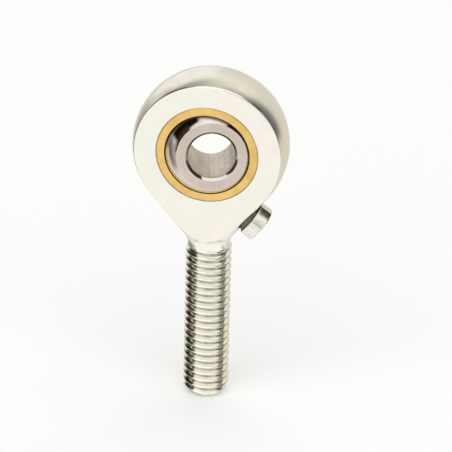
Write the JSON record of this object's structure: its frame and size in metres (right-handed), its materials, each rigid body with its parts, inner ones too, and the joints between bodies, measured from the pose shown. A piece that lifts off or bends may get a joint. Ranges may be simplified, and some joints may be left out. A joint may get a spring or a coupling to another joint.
{
  "type": "rod end bearing",
  "caption": "Male rod end bearing with a left-hand threaded shank: a zinc-plated eye, a brass race, a tilting polished ball and a flush grease nipple on the flank.",
  "frame": {"origin": "centre of the ball, on the shank's axis and midway between the eye's flat faces", "axes": "+Z along the shank's axis towards the crown of the eye, so the shank points down; -Y is the front flat face and +Y the rear one; the grease nipple is on the +X flank"},
  "size_m": [0.02, 0.0106, 0.046],
  "materials": {
    "zinc_plated_housing": "satin zinc plating with a faint yellow tint",
    "brass_race": "turned brass",
    "polished_ball": "polished sphere with ground end faces",
    "zinc_plated_nipple": "zinc-plated steel",
    "bright_check_ball": "polished",
    "spring_steel": "drawn wire"
  },
  "bodies": {
    "housing": {"rod_end_housing": "zinc_plated_housing", "race": "brass_race", "grease_nipple_body": "zinc_plated_nipple", "nipple_check_spring": "spring_steel"},
    "ball": {"ball": "polished_ball"},
    "check_ball": {"nipple_check_ball": "bright_check_ball"}
  },
  "joints": [
    {"name": "ball_tilt", "type": "hinge", "parent": "housing", "child": "ball", "pos_m": [0, 0, 0], "axis": [-0.3907, 0, 0.9205], "range_deg": [-24.2, 1.8]},
    {"name": "check_ball_slide", "type": "slide", "parent": "housing", "child": "check_ball", "axis": [-0.809, 0, 0.5878], "range_m": [0, 0.0004], "stiffness_N_per_m": 100, "springref_m": -0.0003, "deforming": ["nipple_check_spring"]}
  ]
}
